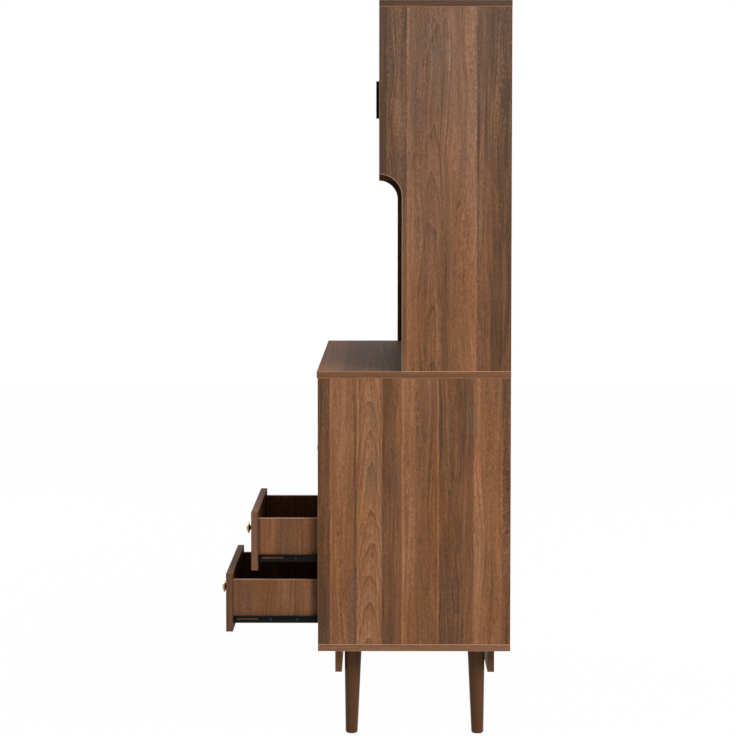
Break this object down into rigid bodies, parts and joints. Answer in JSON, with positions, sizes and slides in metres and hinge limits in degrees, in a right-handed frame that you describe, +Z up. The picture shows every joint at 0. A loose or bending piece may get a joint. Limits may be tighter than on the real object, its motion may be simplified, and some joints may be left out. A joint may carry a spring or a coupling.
{
  "type": "dresser with hutch",
  "caption": "Tall wooden dresser: a base with doors, drawers and an open niche on splayed round legs, under a coved hutch with inset doors over an open bay.",
  "frame": {"origin": "on the floor, in the middle of the overall width and depth with both drawers open as at rest", "axes": "+Z up; +X to the right seen from the front; -Y towards the front, where doors and drawers open"},
  "size_m": [1.1, 0.652, 1.63],
  "materials": {
    "walnut_board": "walnut-grain laminate on particle board, satin",
    "leg_wood": "solid wood, dark walnut stain, satin lacquer",
    "hardboard": "thin fibre board with a printed walnut face",
    "brass": "polished brass plate",
    "black_pull": "matt black powder coat",
    "black_steel": "black epoxy-coated steel",
    "zinc_steel": "bright zinc plate",
    "nylon": "natural nylon",
    "catch_plastic": "brown plastic"
  },
  "bodies": {
    "cabinet": {"base_top": "walnut_board", "base_bottom": "walnut_board", "base_side_left": "walnut_board", "base_side_right": "walnut_board", "base_partition": "walnut_board", "base_back": "hardboard", "niche_shelf": "walnut_board", "drawer_rail": "walnut_board", "cupboard_shelf": "walnut_board", "shelf_clips": "zinc_steel", "front_apron": "walnut_board", "rear_apron": "walnut_board", "leg_front_left": "leg_wood", "leg_front_right": "leg_wood", "leg_rear_left": "leg_wood", "leg_rear_right": "leg_wood", "hutch_top": "walnut_board", "hutch_side_left": "walnut_board", "hutch_side_right": "walnut_board", "hutch_floor": "walnut_board", "hutch_divider": "walnut_board", "hutch_back": "hardboard", "hutch_pivots": "zinc_steel", "base_pivots": "zinc_steel", "door_catches": "catch_plastic", "cabinet_runners": "black_steel", "cabinet_rollers": "nylon"},
    "hutch_left_door": {"hutch_door_left": "walnut_board", "hutch_pull_left": "black_pull"},
    "base_left_door": {"base_door_left": "walnut_board", "base_knob_left": "brass"},
    "hutch_right_door": {"hutch_door_right": "walnut_board", "hutch_pull_right": "black_pull"},
    "base_right_door": {"base_door_right": "walnut_board", "base_knob_right": "brass"},
    "upper_drawer": {"upper_front": "walnut_board", "upper_knob": "brass", "upper_side_left": "walnut_board", "upper_side_right": "walnut_board", "upper_back": "walnut_board", "upper_floor": "hardboard", "upper_runners": "black_steel", "upper_rollers": "nylon"},
    "lower_drawer": {"lower_front": "walnut_board", "lower_knob": "brass", "lower_side_left": "walnut_board", "lower_side_right": "walnut_board", "lower_back": "walnut_board", "lower_floor": "hardboard", "lower_runners": "black_steel", "lower_rollers": "nylon"}
  },
  "joints": [
    {"name": "hutch_left_door_hinge", "type": "hinge", "parent": "cabinet", "child": "hutch_left_door", "pos_m": [-0.526, 0.042, 1.441], "axis": [0, 0, -1], "range_deg": [0, 90]},
    {"name": "hutch_right_door_hinge", "type": "hinge", "parent": "cabinet", "child": "hutch_right_door", "pos_m": [0.526, 0.042, 1.441], "axis": [0, 0, 1], "range_deg": [0, 90]},
    {"name": "base_left_door_hinge", "type": "hinge", "parent": "cabinet", "child": "base_left_door", "pos_m": [-0.526, -0.093, 0.51], "axis": [0, 0, -1], "range_deg": [0, 90]},
    {"name": "base_right_door_hinge", "type": "hinge", "parent": "cabinet", "child": "base_right_door", "pos_m": [0.105, -0.093, 0.51], "axis": [0, 0, 1], "range_deg": [0, 90]},
    {"name": "upper_drawer_slide", "type": "slide", "parent": "cabinet", "child": "upper_drawer", "axis": [0, -1, 0], "range_m": [-0.148, 0.114]},
    {"name": "lower_drawer_slide", "type": "slide", "parent": "cabinet", "child": "lower_drawer", "axis": [0, -1, 0], "range_m": [-0.204, 0.058]}
  ]
}
